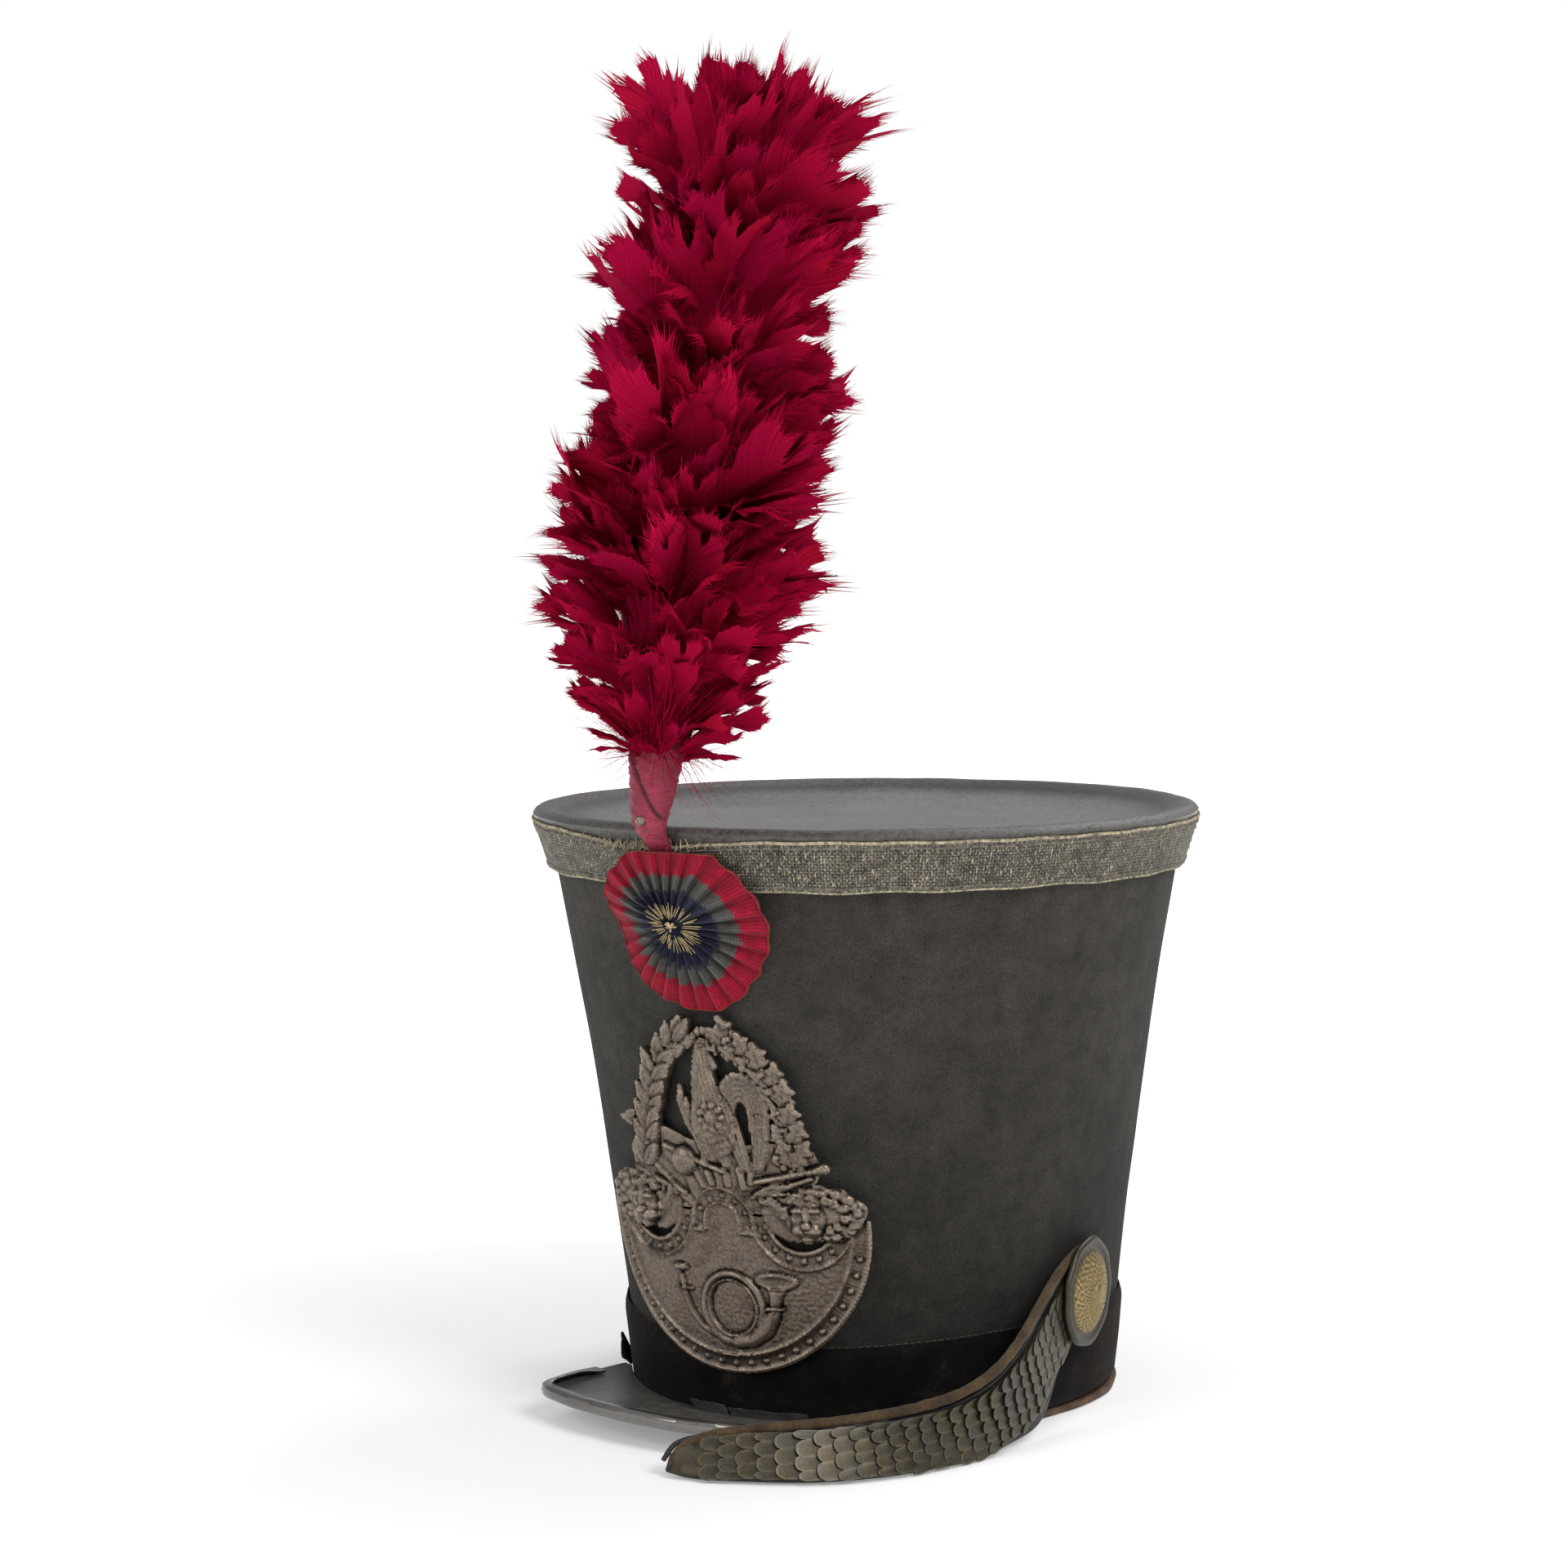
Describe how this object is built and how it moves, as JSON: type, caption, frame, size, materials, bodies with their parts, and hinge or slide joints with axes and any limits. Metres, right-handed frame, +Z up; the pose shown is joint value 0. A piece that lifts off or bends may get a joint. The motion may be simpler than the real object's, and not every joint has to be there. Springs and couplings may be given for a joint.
{
  "type": "shako with plume",
  "caption": "Bell-shaped felt military cap with leather top, squarish peak, pierced front plate, cockade, feather plume and metal chin scales, standing on a surface.",
  "frame": {"origin": "centre of the footprint on the surface that the hat stands on", "axes": "+Z up, -Y to the front of the hat, +X to the wearer's left"},
  "size_m": [0.2352, 0.338, 0.4756],
  "materials": {
    "felt": "worn dark felt",
    "black_leather": "blackened, worn and glossy",
    "metal_braid": "woven tarnished metal thread",
    "velvet": "short dark pile",
    "brown_leather": "worn, matt",
    "tarnished_silver": "silvered and tarnished",
    "scale_metal": "silvered, worn to brass at the edges",
    "ribbon": "pleated ribbon",
    "red_leather": "dyed, wrinkled",
    "feather": "dyed feathers",
    "brown_pile": "padded, worn pile",
    "black_cord": "thin black lace"
  },
  "bodies": {
    "root": {"crown_shell": "felt", "crown_top": "black_leather", "top_galloon": "metal_braid", "velvet_band": "velvet", "sweatband": "brown_leather", "peak": "black_leather", "peak_binding": "tarnished_silver", "shako_plate": "tarnished_silver", "cockade": "ribbon", "plume_socket": "red_leather", "socket_rivet": "tarnished_silver", "plume": "feather", "boss_left": "scale_metal", "boss_right": "scale_metal", "strap_backing_left": "black_leather", "strap_backing_right": "black_leather", "strap_roll_left": "brown_pile", "strap_roll_right": "brown_pile", "chin_scales_left": "scale_metal", "chin_scales_right": "scale_metal", "tie_lace_left": "black_cord", "tie_lace_right": "black_cord"}
  },
  "joints": []
}
